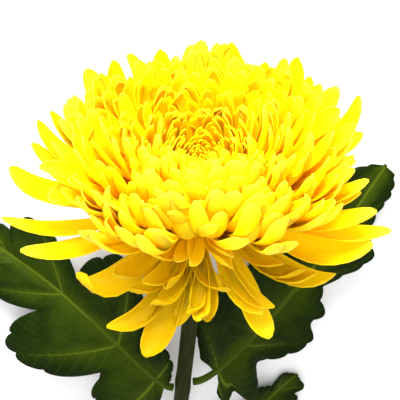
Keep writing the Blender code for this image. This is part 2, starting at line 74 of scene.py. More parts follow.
# Petals in the sunflower's spiral from the eye (0) to the rim (1), then more of them that
# fill the dome's front, and more that fill the eye
SEED = 4
GOLDEN = math.radians(137.50776)
DOME_R = 12.0
DOME_H = 9.0
ROOT_SUNK = 1.0
SPIRAL_COUNT = 600
FILLING_COUNT = 70
FILLING_FROM, FILLING_SPAN = 0.38, 0.42
FRONT_FROM, FRONT_SPAN = 205, 130
EYE_FILLING_COUNT = 110
EYE_FROM, EYE_SPAN = 0.04, 0.32
# By place: length and width in millimetres, then in degrees the angle from the axis at the
# base and at the tip, and half the angle of the cupped section
PLACES = (0, 0.04, 0.10, 0.20, 0.35, 0.50, 0.65, 0.80, 0.92, 1.0)
LENGTH = (7.5, 9, 12, 17, 23.5, 30, 36.5, 41.5, 45, 48)
WIDTH = (1.1, 1.5, 2.2, 3.5, 4.9, 6.3, 7.8, 9.2, 9.8, 9.8)
BASE_ANGLE = (5, 15, 27, 40, 52, 61, 71, 81, 92, 104)
TIP_ANGLE = (-20, -30, -34, -30, -20, -8, 4, 16, 30, 46)
CUP_ANGLE = (34, 36, 40, 48, 62, 76, 82, 80, 70, 60)
# How far chance moves these: length and width as shares, base, tip and cup in degrees and
# the others in radians. The draw for the length is kept between two limits
SPREAD = {"round": 0.06, "length": 0.05, "width": 0.09, "base": 7, "tip": 14, "cup": 9,
          "lean": 0.16, "twist": 0.28}
SHORTEST, LONGEST = -1.5, 1.0
# The eye's petals are the most alike: chance grows with the place, so many times as fast
GRADING = 3
# Neighbouring petals lean together, in waves round the bloom that turn from eye to rim
SWAY, SWAY_WAVES, SWAY_TURN = 0.16, 5, 9
# The least bend and bluntness and what chance adds, and the most hook (degrees), ripple and
# curl. Ripples set in away from the eye
BEND, BEND_SPAN = 1.2, 0.9
BLUNT, BLUNT_SPAN = 2.0, 1.4
HOOK = 20
RIPPLE = 0.45
RIPPLE_GROWTH, RIPPLE_START = 2, 0.4
CURL = 0.2
# The dome's front shows its petals' backs: there they are wider and their tips come inwards
FRONT_WIDER = 0.10
FRONT_TIPPED = math.radians(14)
FRONT_HEIGHT, FRONT_HEIGHT_SPAN = 0.3, 0.5
FRONT_PLACE, FRONT_PLACE_SPAN = 0.42, 0.15
# Up to this place a petal belongs to the eye's piece
EYE_TO = 0.35
# The spiral ends at this place, sooner at the very front and only at the rim at the rear
HAND_POSED_FROM = 0.86
HAND_POSED_SINE = 0.35
FRONT_CUT = 0.16
FRONT_CUT_FROM, FRONT_CUT_SPAN = 0.90, 0.08

# The shape that all petals share: the claw's share of the width, where it is widest, where
# its end hooks, how far it leans, its cup from claw to tip, its ripples and its ribs
CLAW = 0.26
WIDEST = 0.60
HOOK_FROM, HOOK_SPAN = 0.7, 0.3
LEANING = 1.5
CLAW_CUP, CUP_EASE = 1.25, 0.72
RIPPLES_ALONG, RIPPLES_ACROSS, RIPPLES_SHIFT = 9, 4, 6
RIB = 0.016
PETAL_THICK = 0.32
LINE_STEPS = 24
# Below which place a petal's sheet has so many columns and rows, which crowd at the tip. The
# sheet ends just short of it, where it still has a width
PETAL_GRIDS = ((0.06, 4, 5), (0.35, 6, 8), (2.0, 8, 11))
TIP_CROWDING = 1.4
SHEET_END = 0.996
# How deep in the bloom a point lies, by the petals' reach in each direction round it, which
# is taken at these places along each petal. DEPTH_FULL below the reach is the deepest
# The depth sets the painted shade deep in the bloom and keeps the painted highlights off
# covered petals
BLOOM_MIDDLE = Vector((0.0, 0.0, -2.0))
REACH_PLACES = (0.3, 0.4, 0.5, 0.6, 0.7, 0.8, 0.9, 1.0)
DEPTH_BANDS = 16
DEPTH_SECTORS = 36
DEPTH_FULL = 26.0

# The place that a listed petal is coloured by. Those rooted low are darker, and the more
# so where their tips hang and little light comes in under the rim, though less on the right
# These places set how much painted shade a listed petal gets under the rim
RIM_PLACE = 0.9
LOW_PLACE = 0.98
HANGING_PLACE, HANGING_RIGHT_PLACE = 1.0, 0.97
LOW_BASE = math.radians(131)
HANGING_TIP = math.radians(103)
HANGING_RIGHT = math.radians(280)
OUTER_CURL = 0.4
# The petals under the rim, posed one by one: where round the bloom, length, width, base and
# tip angle from the axis, lean, twist, bend, bluntness, cup, hooked tip, ripple, and the
# root's radius and height
OUTER_PETALS = (
    (254, 43.4, 11, 134, 140, -0.25, 0.05, 1.5, 4.4, 78, 50, 0.15, 11.16, -1.5),
    (249.9, 43.6, 8.4, 138, 108, -0.75, 0.35, 1.5, 2.4, 86, 60, 0.3, 11.16, -1.5),
    (221.6, 44.8, 12.5, 141, 10, -0.6, 0, 3.4, 2.8, 66, 60, 0.2, 11.16, -1.5),
    (229.5, 30.2, 10, 138, 50, -0.2, 0.1, 1.6, 3.2, 74, 30, 0.6, 11.16, -1.5),
    (245.1, 30.3, 8.5, 140, 70, -0.5, 0.4, 1.5, 2.2, 84, 40, 1.2, 11.16, -1.5),
    (258.6, 30.7, 7.5, 141, 76, -0.5, 0.3, 1.5, 2.4, 90, 50, 1.6, 11.16, -1.5),
    (248.9, 28.6, 7, 136, 50, -0.3, 0.7, 1.3, 2.6, 84, 30, 1.2, 11, -0.5),
    (256.8, 25, 6.5, 132, 80, -0.2, -0.6, 1.3, 2.4, 90, 40, 1.4, 11, -0.5),
    (249.7, 22.9, 7.5, 126, 20, -0.4, 0.4, 1.3, 1.8, 60, 0, 0.4, 11, 0),
    (259.2, 18, 5.5, 118, 60, -0.2, 0.2, 1.3, 3, 60, 0, 0.2, 11, 1),
    (265.9, 17.9, 7, 110, 74, -0.1, 0.9, 1.3, 1.5, 60, 0, 0.3, 11, 1),
    (281.4, 17.9, 6.5, 112, 60, 0.5, 0.5, 1.3, 1.9, 60, 0, 0.6, 11, 1),
    (280.5, 19.4, 8.5, 124, 70, 0.5, 0.7, 1.3, 2, 66, 20, 1.2, 11, 0),
    (264.6, 26.3, 8, 140, 84, 1.1, 0.5, 1.5, 3.6, 90, 10, 0.6, 11.16, -1.5),
    (272.6, 33.8, 8.5, 138, 80, -0.1, -0.4, 1.8, 2.8, 100, 90, 2.2, 11.16, -1.5),
    (271.1, 30.6, 6.5, 137, 92, -0.3, 0.6, 1.6, 2.2, 96, 70, 2, 11.16, -1.5),
    (268.1, 29.5, 5, 134, 128, -0.5, 0.4, 1.5, 1.8, 60, 0, 0.3, 11.16, -1.5),
    (267.7, 31.9, 6, 136, 132, -0.4, 0.3, 1.5, 1.8, 60, 0, 0.3, 11.16, -1.5),
    (271.5, 30.2, 10.5, 136, 128, 0.1, 0, 1.5, 3, 84, 60, 0.6, 11.16, -1.5),
    (287.9, 32.7, 7.5, 134, 108, 0.5, -0.2, 1.5, 2.8, 88, 30, 0.4, 11.16, -1.5),
    (291, 33.5, 7, 132, 100, 0.6, -0.3, 1.5, 2.4, 90, 40, 0.5, 11.16, -1.5),
    (298.7, 39.5, 9.5, 134, 136, 0.1, 0.1, 1.5, 4.4, 70, 40, 0.3, 11.16, -1.5),
    (308.3, 25.4, 8, 136, 60, 0.6, 0.2, 1.6, 3, 66, 0, 0.2, 11.16, -1.5),
    (316.4, 34.3, 10, 141, 40, 0.45, 0.2, 2.2, 2.6, 70, 20, 0.4, 11.16, -1.5),
    (319.2, 37.8, 10, 140, 46, 0.45, 0, 2.2, 2.8, 70, 20, 0.3, 11.16, -1.5),
    (325.1, 43.9, 10.5, 140, 42, 0.4, 0, 2.4, 2.4, 66, 20, 0.3, 11.16, -1.5),
    (337.2, 51, 13.5, 126, 30, 0, 0, 1.5, 2.6, 60, 10, 0.2, 11.16, -1.5),
    (342.9, 50.3, 9, 104, 56, 0, 0.1, 1.7, 2.6, 62, 10, 0.2, 11.16, -1.5),
    (341.2, 46.2, 9.5, 98, 40, 0.1, 0, 1.7, 3.6, 62, 0, 0.3, 11.16, -1.5),
    (348.7, 41.1, 7.5, 92, 40, 0, 0, 1.7, 1.7, 66, 10, 0.1, 11.16, -1.5),
    (350, 44.5, 9, 88, 34, 0, 0.1, 1.7, 2.8, 62, 10, 0.2, 11.16, -1.5),
    (6, 42.8, 9, 84, 20, 0, 0, 1.7, 2.4, 62, 10, 0.2, 11.16, -1.5),
    (14.4, 55.3, 9.5, 82, 0, 0, 0, 1.7, 3, 62, 20, 0.2, 11.16, -1.5),
    (26.4, 48.7, 8, 78, 4, -0.1, 0, 1.7, 2.4, 62, 10, 0.2, 11.16, -1.5),
    (46.8, 50.8, 9, 80, -6, 0, 0, 1.8, 3, 62, 20, 0.2, 11.16, -1.5),
    (46.5, 43.5, 7.5, 76, -2, 0, 0, 1.8, 3, 62, 20, 0.2, 11.16, -1.5),
    (58.5, 43.4, 8.5, 76, -2, 0, 0, 1.8, 3, 62, 20, 0.2, 11.16, -1.5),
    (76.1, 47.9, 9, 78, -6, 0, 0, 1.8, 3.2, 62, 20, 0.2, 11.16, -1.5),
    (84, 43.5, 7.5, 76, -8, 0, 0, 1.8, 2.8, 62, 10, 0.2, 11.16, -1.5),
    (98.7, 39.9, 8, 76, -4, 0, 0, 1.8, 2.8, 62, 10, 0.2, 11.16, -1.5),
    (108, 46, 8.5, 78, -6, 0, 0, 1.8, 3, 62, 20, 0.2, 11.16, -1.5),
    (129.2, 47.8, 8.5, 80, -4, 0, 0, 1.8, 3, 62, 20, 0.2, 11.16, -1.5),
    (139.7, 45.1, 8, 78, 0, 0, 0, 1.8, 3, 62, 20, 0.2, 11.16, -1.5),
    (170.7, 49.9, 8.5, 84, 14, 0, 0, 1.7, 3, 62, 20, 0.2, 11.16, -1.5),
    (175.8, 47.1, 8.5, 88, 24, 0, 0, 1.7, 2.8, 62, 10, 0.2, 11.16, -1.5),
    (185.1, 53.3, 11, 92, 36, 0, 0.1, 1.7, 4, 66, 40, 0.2, 11.16, -1.5),
    (188.4, 36.9, 9.5, 90, 46, 0, 0, 1.7, 2.6, 62, 10, 0.3, 11.16, -1.5),
    (187, 54.2, 7.5, 120, 44, 0, 0.1, 1.6, 1.7, 66, 0, 0.2, 11.16, -1.5),
    (194.4, 49.9, 8.5, 128, 56, 0, 0.2, 1.6, 1.8, 60, 0, 0.2, 11.16, -1.5),
)

# The receptacle and the calyx, as (radius, height) round the bloom's axis
DOME_PROFILE = ((0, -3.6), (9.4, -3.4), (11.8, -1.4), (12.0, 2.0), (10.0, 5.6), (6.0, 8.0),
                (0, 9.0))
CUP_PROFILE = ((0, -11.4), (3.4, -11.4), (5.0, -9.8), (7.4, -6.8), (8.6, -4.9), (8.2, -3.9),
               (0, -3.9))
TURNED_SIDES = 32
# Rows of bracts: how many, radius and height of the root, length, width, angle from the axis
BRACT_ROWS = (
    (13, 7.2, -7.6, 6.8, 3.7, 50),
    (12, 6.2, -8.8, 6.4, 3.5, 46),
    (9, 4.8, -10.2, 5.4, 3.2, 38),
)
BRACT_SUNK = 1.4
BRACT_OPENING = 20
BRACT_CUP = math.radians(55)
BRACT_GRID = (6, 9)
BRACT_LINE = 10
BRACT_THICK = 0.4

# The stem, from the calyx down to the cut: its neck, ribs, and swellings under the leaves
STEM_PATH = ((0, -11.4, 42.5), (-2.6, -58, 27.5), (-8, -112, 8.6), (-12.5, -176, 2.9))
STEM_R = 2.8
NECK_R = 3.2
NECK_FADE = 6
STEM_RIBS, STEM_RIB, STEM_RIB_TURN = 5, 0.11, 1.4
SWELLING, SWELLING_REACH = 0.3, 0.02
STEM_STEPS = 90
STEM_SIDES = 40
GAP = 0.3

# Leaves: node, fraction along the stem, side, tip, sag of the middle, sideways bow, blade
# length, widening, share of the half next to the bloom, and wave
LEAVES = (
    ("leaf_left_upper", 0.57, -1, (-84, -38, 0.6), 7, 9, 94, 1.04, 0.84, 0.0),
    ("leaf_right_upper", 0.545, 1, (64.5, -12, 0.8), 8, -9, 99, 1.0, 1.0, 1.3),
    ("leaf_right_lower", 0.86, 1, (37.6, -103.5, 0.4), 3, 0, 60, 0.86, 0.7, 2.2),
    ("leaf_left_lower", 0.82, -1, (-57, -142, 0.4), 3, 0, 42, 0.90, 0.7, 0.7),
)
# A leaf's lobes from base to tip: start and end along the midrib, how far the lobe reaches
# in blade lengths, the lateral veins' angle there, and how far its notch comes in
LOBES = (
    (0.00, 0.18, 0.28, 112, 80, 0.05),
    (0.18, 0.48, 0.37, 74, 52, 0.13),
    (0.48, 0.77, 0.29, 52, 40, 0.15),
    (0.77, 1.00, 0.15, 48, 44, 0.12),
)
LOBE_ROWS = 44
# The broad leaf beside the stem has lobes of its own. Rows of midrib place, then the lateral
# vein's angle and the reach in millimetres, for the outer half and the half next to the bloom
BROAD_LEAF = "leaf_right_upper"
BROAD_ROWS = (
    (0.00, 125, 3.4, 100, 3.4), (0.02, 142, 9.5, 108, 8.3), (0.035, 130, 15.4, 100, 11.1),
    (0.055, 124, 12.2, 92, 15.6), (0.075, 114, 19.0, 88, 20.0),
    (0.105, 106, 15.5, 84, 24.1), (0.14, 103, 8.4, 80, 26.8), (0.18, 101, 10.9, 78, 26.0),
    (0.22, 96, 13.6, 76, 24.0), (0.27, 92, 16.1, 74, 21.4), (0.31, 86, 17.1, 73, 21.6),
    (0.34, 79, 12.6, 73, 22.0), (0.37, 71, 14.7, 72, 21.7), (0.42, 62, 10.0, 70, 21.3),
    (0.47, 60, 8.0, 69, 18.6), (0.52, 64, 11.3, 68, 15.6), (0.57, 67, 15.2, 67, 11.3),
    (0.62, 64, 17.2, 66, 10.3), (0.68, 56, 12.0, 65, 11.8), (0.74, 51, 10.4, 62, 13.0),
    (0.81, 51, 9.6, 64, 11.7), (0.89, 56, 8.0, 67, 9.8), (0.96, 60, 5.0, 67, 4.6),
    (1.00, 60, 0.0, 66, 0.0),
)
BROAD_STEPS = 190
BROAD_TEETH = 17
# Where each lateral vein leaves the midrib and where it ends: outer half, half by the bloom
BROAD_VEINS = (((0.0, 0.035), (0.01, 0.075), (0.15, 0.31), (0.42, 0.62), (0.72, 0.83)),
               ((0.0, 0.14), (0.20, 0.38), (0.60, 0.76)))
# Where a lobe's own lateral vein leaves the midrib and ends, as shares of the lobe, and how
# all lateral veins curve
LOBE_VEIN = (0.25, 0.5)
VEIN_CURVE = 1.3
LEAF_COLUMNS = 24
# A lobe's round outline, which the end of the midrib cuts off, and the narrow start of the
# half next to the bloom
LOBE_ROUND = 0.7
TIP_ROUND = 1.3
INNER_BASE = 0.3
INNER_GROWTH = 2.4
# Teeth: how many in a lobe, height in blade lengths, roundness, how far in they reach, and
# how they get lower towards the leaf's tip and fade at its ends
SCALLOPS = 4
SCALLOP = 0.026
BROAD_SCALLOP = 0.5
SCALLOP_ROUND = 0.6
SCALLOP_DEPTH = 5
SCALLOP_FALL = 0.4
FADE_IN, FADE_OUT = 12, 8
# The blade's relief: it rises and droops again outwards, is quilted between the veins and
# grooved along the midrib, and has long waves and a ruffled edge
LIFT = 0.16
DROOP = 0.0042
QUILT, QUILT_REACH, QUILT_ROUND = 0.8, 5, 0.8
GROOVE, GROOVE_REACH = 0.5, 1.6
WAVE, WAVES = 1.3, 11
RUFFLE, RUFFLES = 0.5, 31
BLADE_THICK = 0.55
BLADE_CLEAR = 0.2
# The petiole leaves the stem outwards and up, and tapers and sinks under the blade
PETIOLE_OUT, PETIOLE_UP = 9, 2
MIDRIB_PULL = 0.45
PETIOLE_R = 1.5
PETIOLE_TAPER = 0.72
PETIOLE_SUNK = 0.25
PETIOLE_UNDER = 0.8
PETIOLE_STEPS = 40
PETIOLE_SIDES = 14

# Colours, linear. A pair is mixed by chance or by a cloudy noise
CLEAR_YELLOWS = ((1.0, 0.54, 0.0015), (1.0, 0.61, 0.002))
# The claws' own orange, and partly painted shade where they sit deep among the petals
CLAW_ORANGE_AND_SHADE = (0.96, 0.38, 0.001)
# Painted shade: orange deep in the bloom
DEEP_SHADE_ORANGE = (0.98, 0.40, 0.001)
EYE_AMBER = (0.90, 0.44, 0.002)
# Painted shade: a darker yellow for the petals hanging under the rim
HANGING_SHADE_YELLOW = (0.40, 0.215, 0.001)
# Painted highlights: pale on exposed tips and rims, warmer on the petals in painted shade
PALE_TIP_HIGHLIGHT = (1.0, 0.76, 0.034)
SHADED_TIP_HIGHLIGHT = (1.0, 0.52, 0.004)
RECEPTACLE_AMBERS = ((0.75, 0.28, 0.003), (0.55, 0.16, 0.003))
BRACT_GREENS = ((0.09, 0.17, 0.022), (0.13, 0.22, 0.04))
PAPER_EDGE = (0.34, 0.33, 0.13)
DRY_TIP = (0.30, 0.20, 0.06)
CUP_GREENS = ((0.07, 0.13, 0.02), (0.11, 0.18, 0.03))
STEM_GREENS = ((0.020, 0.026, 0.0015), (0.010, 0.013, 0.0008))
WOODY_BROWN = (0.040, 0.024, 0.006)
LEAF_GREENS = ((0.007, 0.016, 0.0004), (0.021, 0.039, 0.0008))
NEAR_VEIN_GREEN = (0.044, 0.072, 0.0014)
EDGE_GREEN = (0.003, 0.010, 0.0003)
VEIN_OLIVE = (0.12, 0.17, 0.010)
PETIOLE_GREENS = ((0.055, 0.088, 0.005), (0.032, 0.054, 0.003))
FLOOR_WHITE = (0.9, 0.9, 0.9)


def at(values, place):
    """The value at a place between the eye and the rim."""
    for low, high, a, b in zip(PLACES, PLACES[1:], values, values[1:]):
        if place <= high:
            return a + (b - a) * (place - low) / (high - low)
    return values[-1]


def clamp(x, low=0.0, high=1.0):
    return max(low, min(high, x))


def above_surface(point, soft=PETAL_SOFT, reach=PETAL_REACH):
    """Press what comes below the soft height gently flat."""
    if point.z < soft:
        point.z = soft - reach * (1 - math.exp((point.z - soft) / reach))
    return point


def from_bloom(x, y, z):
    return RECEPTACLE + SIDE * x - TOP * y + AXIS * z


def spiral_petal(index):
    """One petal of the spiral, or past its end one that fills the dome's front or the eye."""
    draw = random.Random(SEED * 1000 + index)
    place = (index + 0.5) / SPIRAL_COUNT
    round_angle = (index * GOLDEN) % (2 * math.pi)
    if index >= SPIRAL_COUNT:
        place = FILLING_FROM + FILLING_SPAN * draw.random()
        round_angle = math.radians(FRONT_FROM + FRONT_SPAN * (index * GOLDEN % 1.0))
    if index >= SPIRAL_COUNT + FILLING_COUNT:
        place = EYE_FROM + EYE_SPAN * draw.random()
        round_angle = 2 * math.pi * draw.random()
    grade = min(1.0, place * GRADING)
    sway = SWAY * math.cos(SWAY_WAVES * round_angle + SWAY_TURN * place)
    petal = {
        "round": round_angle + draw.gauss(0, SPREAD["round"]),
        "place": place,
        "root_r": DOME_R * math.sqrt(place),
        "root_h": DOME_H * (1 - place) - ROOT_SUNK,
        "length": at(LENGTH, place) * (1 + SPREAD["length"]
                                       * clamp(draw.gauss(0, 1), SHORTEST, LONGEST)),
        "width": at(WIDTH, place) * (1 + draw.gauss(0, SPREAD["width"])),
        "base": math.radians(at(BASE_ANGLE, place) + draw.gauss(0, SPREAD["base"]) * grade),
        "tip": math.radians(at(TIP_ANGLE, place) + draw.gauss(0, SPREAD["tip"]) * grade),
        "cup": math.radians(at(CUP_ANGLE, place) + draw.gauss(0, SPREAD["cup"])),
        "lean": (draw.gauss(0, SPREAD["lean"]) + sway) * grade,
        "twist": draw.gauss(0, SPREAD["twist"]) * grade,
        "bend": BEND + draw.random() * BEND_SPAN,
        "blunt": BLUNT + draw.random() * BLUNT_SPAN,
        "hook": math.radians(HOOK * draw.random()) * grade,
        "ripple": RIPPLE * draw.random() * clamp(RIPPLE_GROWTH * place - RIPPLE_START),
        "curl": CURL * draw.random() * grade,
        "draw": draw.random(),
    }
    front = (clamp((-math.sin(round_angle) - FRONT_HEIGHT) / FRONT_HEIGHT_SPAN)
             * clamp((place - FRONT_PLACE) / FRONT_PLACE_SPAN))
    petal["width"] *= 1 + FRONT_WIDER * front
    petal["tip"] -= FRONT_TIPPED * front
    return petal


def last_place(round_angle):
    """Where the spiral stops in a direction and the listed petals take over."""
    front = -math.sin(round_angle)
    if front <= -HAND_POSED_SINE:
        return 1.0
    return HAND_POSED_FROM - FRONT_CUT * clamp((front - FRONT_CUT_FROM) / FRONT_CUT_SPAN)


def outer_petal(number, row):
    """One listed petal of the reflexed layer."""
    names = ("round", "length", "width", "base", "tip", "lean", "twist", "bend", "blunt",
             "cup", "hook", "ripple", "root_r", "root_h")
    petal = dict(zip(names, row))
    for name in ("round", "base", "tip", "cup", "hook"):
        petal[name] = math.radians(petal[name])
    # The place sets how much painted shade the petal gets under the rim
    petal["place"] = LOW_PLACE if petal["base"] > LOW_BASE else RIM_PLACE
    if petal["tip"] > HANGING_TIP:
        right = petal["round"] >= HANGING_RIGHT
        petal["place"] = HANGING_RIGHT_PLACE if right else HANGING_PLACE
    petal["curl"] = OUTER_CURL
    petal["draw"] = random.Random(SEED * 3000 + number).random()
    return petal


def half_width(petal, s):
    """Narrow claw, widest past the middle, rounded tip."""
    if s < WIDEST:
        k = s / WIDEST
        k = k * k * (3 - 2 * k)
        return petal["width"] / 2 * (CLAW + (1 - CLAW) * k)
    x = (s - WIDEST) / (1 - WIDEST)
    return petal["width"] / 2 * max(0.0, 1 - x ** petal["blunt"]) ** 0.5


def direction(petal, s):
    """The petal's tangent and the side that its hollow faces, at s along it."""
    bent = petal["base"] + (petal["tip"] - petal["base"]) * s ** petal["bend"]
    bent -= petal["hook"] * clamp((s - HOOK_FROM) / HOOK_SPAN) ** 2
    aside = petal["lean"] * s * s * LEANING
    along = Vector((math.sin(bent) * math.cos(aside), math.sin(aside),
                    math.cos(bent) * math.cos(aside)))
    inward = Vector((-math.cos(bent), 0.0, math.sin(bent)))
    inward = (inward - along * inward.dot(along)).normalized()
    return along, inward


def middle_line(petal, steps=LINE_STEPS):
    points = [Vector((petal["root_r"], 0.0, petal["root_h"]))]
    for k in range(steps):
        along, _ = direction(petal, (k + 0.5) / steps)
        points.append(points[-1] + along * petal["length"] / steps)
    return points


def petal_point(petal, line, s, q):
    """A point of the petal at s along it and q across it."""
    x = s * (len(line) - 1)
    k = min(int(x), len(line) - 2)
    centre = line[k].lerp(line[k + 1], x - k)
    along, inward = direction(petal, s)
    aside = inward.cross(along)
    twist = petal["twist"] * s
    inner = inward * math.cos(twist) + aside * math.sin(twist)
    across = aside * math.cos(twist) - inward * math.sin(twist)
    reach = half_width(petal, s)
    cup = petal["cup"] * (CLAW_CUP - CUP_EASE * s + petal["curl"] * s ** 5)
    angle = cup * q
    ripples = RIPPLES_ALONG * s + RIPPLES_ACROSS * q + RIPPLES_SHIFT * petal["draw"]
    wave = petal["ripple"] * q * q * math.sin(ripples) * s
    rib = RIB * reach * math.cos(3 * math.pi * q) * math.sin(math.pi * s)
    point = (centre + across * (reach / cup * math.sin(angle))
             + inner * (reach / cup * (1 - math.cos(angle)) + wave + rib))
    cos_r, sin_r = math.cos(petal["round"]), math.sin(petal["round"])
    turned = (point.x * cos_r - point.y * sin_r, point.x * sin_r + point.y * cos_r, point.z)
    return above_surface(from_bloom(*turned))


def finished(bm, name, outward=False):
    """Set a bmesh down as an object at the origin, in metres."""
    if outward:
        bmesh.ops.recalc_face_normals(bm, faces=bm.faces)
    bmesh.ops.translate(bm, vec=SET_DOWN, verts=bm.verts)
    bmesh.ops.scale(bm, vec=(MM, MM, MM), verts=bm.verts)
    mesh = bpy.data.meshes.new(name)
    bm.to_mesh(mesh)
    bm.free()
    mesh.shade_smooth()
    piece = bpy.data.objects.new(name, mesh)
    bpy.context.scene.collection.objects.link(piece)
    return piece


def thicken(piece, thickness, offset):
    solid = piece.modifiers.new("thickness", "SOLIDIFY")
    solid.thickness = thickness * MM
    solid.offset = offset
    return piece


def bearing(point):
    """A point's direction from the bloom's middle, as band and sector, and its distance."""
    local = point - RECEPTACLE
    local = Vector((local.dot(SIDE), -local.dot(TOP), local.dot(AXIS))) - BLOOM_MIDDLE
    reach = max(local.length, 1e-6)
    band = math.acos(clamp(local.z / reach, -1.0, 1.0)) / math.pi * DEPTH_BANDS
    sector = (math.atan2(local.y, local.x) / (2 * math.pi) % 1.0) * DEPTH_SECTORS
    return min(int(band), DEPTH_BANDS - 1), int(sector) % DEPTH_SECTORS, reach


def bloom_reach(petals):
    """How far the petals reach in every direction, smoothed over the neighbours."""
    far = [[0.0] * DEPTH_SECTORS for _ in range(DEPTH_BANDS)]
    for petal in petals:
        line = middle_line(petal)
        for s in REACH_PLACES:
            band, sector, reach = bearing(petal_point(petal, line, s, 0.0))
            far[band][sector] = max(far[band][sector], reach)
    return [[sum(far[clamp(band + a, 0, DEPTH_BANDS - 1)][(sector + b) % DEPTH_SECTORS]
                 for a in (-1, 0, 1) for b in (-1, 0, 1)) / 9
             for sector in range(DEPTH_SECTORS)] for band in range(DEPTH_BANDS)]


def petal_sheets(name, petals, far):
    """Petals as thin sheets: a grid each, bent to its petal by the formulas above."""
    bm = bmesh.new()
    marks = bm.verts.layers.float_color.new("petal")
    draws = bm.verts.layers.float.new("petal_draw")
    for petal in petals:
        columns, rows = next(grid[1:] for grid in PETAL_GRIDS if petal["place"] < grid[0])
        grid = bmesh.ops.create_grid(bm, x_segments=columns, y_segments=rows, size=1)["verts"]
        line = middle_line(petal)
        for vert in grid:
            s = SHEET_END * (1 - (1 - (vert.co.y + 1) / 2) ** TIP_CROWDING)
            q = vert.co.x
            vert.co = petal_point(petal, line, s, q)
            band, sector, reach = bearing(vert.co)
            depth = clamp((far[band][sector] - reach) / DEPTH_FULL)
            vert[marks] = (s, (q + 1) / 2, petal["place"], depth)
            vert[draws] = petal["draw"]
    return thicken(finished(bm, name), PETAL_THICK, 0)


def turned_solid(name, profile):
    """A solid turned round the bloom's axis from a profile of (radius, height)."""
    bm = bmesh.new()
    verts = [bm.verts.new((r, 0, h)) for r, h in profile]
    edges = [bm.edges.new(pair) for pair in zip(verts, verts[1:])]
    bmesh.ops.spin(bm, geom=verts + edges, cent=(0, 0, 0), axis=(0, 0, 1),
                   angle=2 * math.pi, steps=TURNED_SIDES, use_merge=True)
    bmesh.ops.remove_doubles(bm, verts=bm.verts, dist=1e-4)
    for vert in bm.verts:
        vert.co = from_bloom(*vert.co)
    return finished(bm, name, outward=True)


def make_bracts():
    """Three overlapping rows of narrow green scales round the cup."""
    bm = bmesh.new()
    marks = bm.verts.layers.float_color.new("petal")
    for row, (count, root_r, root_h, length, width, angle) in enumerate(BRACT_ROWS):
        for step in range(count):
            draw = random.Random(SEED * 500 + row * 40 + step)
            bract = {
                "round": 2 * math.pi * (step + 0.5 * (row % 2)) / count + draw.gauss(0, 0.05),
                "root_r": root_r - BRACT_SUNK, "root_h": root_h,
                "length": length * (1 + draw.gauss(0, 0.06)), "width": width,
                "base": math.radians(angle),
                "tip": math.radians(angle + BRACT_OPENING + draw.gauss(0, 6)),
                "cup": BRACT_CUP, "lean": draw.gauss(0, 0.1), "twist": 0.0, "bend": 1.3,
                "blunt": 1.7, "hook": 0.0, "ripple": 0.1, "curl": 0.0, "draw": draw.random(),
            }
            line = middle_line(bract, BRACT_LINE)
            grid = bmesh.ops.create_grid(bm, x_segments=BRACT_GRID[0],
                                         y_segments=BRACT_GRID[1], size=1)["verts"]
            for vert in grid:
                s, q = SHEET_END * (vert.co.y + 1) / 2, vert.co.x
                vert[marks] = (s, (q + 1) / 2, 0, bract["draw"])
                vert.co = petal_point(bract, line, s, q)
    return thicken(finished(bm, "bracts"), BRACT_THICK, 0)


def bezier(path, t):
    a, b, c, d = (Vector(p) for p in path)
    u = 1 - t
    return a * u ** 3 + b * 3 * u * u * t + c * 3 * u * t * t + d * t ** 3


def tube(bm, points, radius_at, sides, marks=None):
    """A tube along the points from a grid rolled up; radius_at takes share and angle."""
    grid = bmesh.ops.create_grid(bm, x_segments=sides, y_segments=len(points) - 1, size=1)
    for vert in grid["verts"]:
        row = round((vert.co.y + 1) / 2 * (len(points) - 1))
        turn = math.pi * vert.co.x
        before, after = points[max(0, row - 1)], points[min(len(points) - 1, row + 1)]
        along = (after - before).normalized()
        across = along.cross(Vector((0, 0, 1))).normalized()
        over = across.cross(along)
        share = row / (len(points) - 1)
        if marks is not None:
            vert[marks] = (share, turn / (2 * math.pi) + 0.5, 0, 0)
        radius = radius_at(share, turn)
        vert.co = points[row] + (across * math.cos(turn) + over * math.sin(turn)) * radius
    bmesh.ops.remove_doubles(bm, verts=grid["verts"], dist=1e-4)
    bmesh.ops.holes_fill(bm, edges=[e for e in bm.edges if e.is_boundary], sides=0)


def stem_radius(share, turn):
    """Low ribs, a neck under the bloom and a swelling where each leaf leaves."""
    radius = STEM_R + (NECK_R - STEM_R) * math.exp(-NECK_FADE * share)
    radius += STEM_RIB * math.cos(STEM_RIBS * turn + STEM_RIB_TURN * share)
    for _, along_stem, side, *_ in LEAVES:
        reach = (share - along_stem) / SWELLING_REACH
        radius += SWELLING * math.exp(-reach * reach) * (0.5 + 0.5 * side * math.cos(turn))
    return radius


def make_stem():
    top = from_bloom(0, 0, CUP_PROFILE[0][1] - 2 * GAP)
    path = (top, *STEM_PATH[1:])
    points = [bezier(path, k / STEM_STEPS) for k in range(STEM_STEPS + 1)]
    bm = bmesh.new()
    marks = bm.verts.layers.float_color.new("stem")
    tube(bm, points, stem_radius, STEM_SIDES, marks)
    return finished(bm, "stalk", outward=True)


def leaf_path(along_stem, side, tip, sag, bow, blade):
    """The petiole and midrib as one curve, from the stem's skin to the leaf's tip."""
    stem_path = (from_bloom(0, 0, CUP_PROFILE[0][1]), *STEM_PATH[1:])
    stem_point = bezier(stem_path, along_stem)
    stem_along = bezier(stem_path, along_stem - 0.01) - stem_point
    outward = stem_along.cross(Vector((0, 0, side))).normalized()
    tip = Vector(tip)
    heading = tip - stem_point
    heading.z = 0
    heading.normalize()
    start = stem_point + outward * (STEM_R + 3 * GAP)
    aside = Vector((side * -heading.y, side * heading.x, 0)) * bow
    return (start, start + outward * PETIOLE_OUT + Vector((0, 0, PETIOLE_UP)),
            tip - heading * blade * MIDRIB_PULL + aside + Vector((0, 0, sag)), tip)


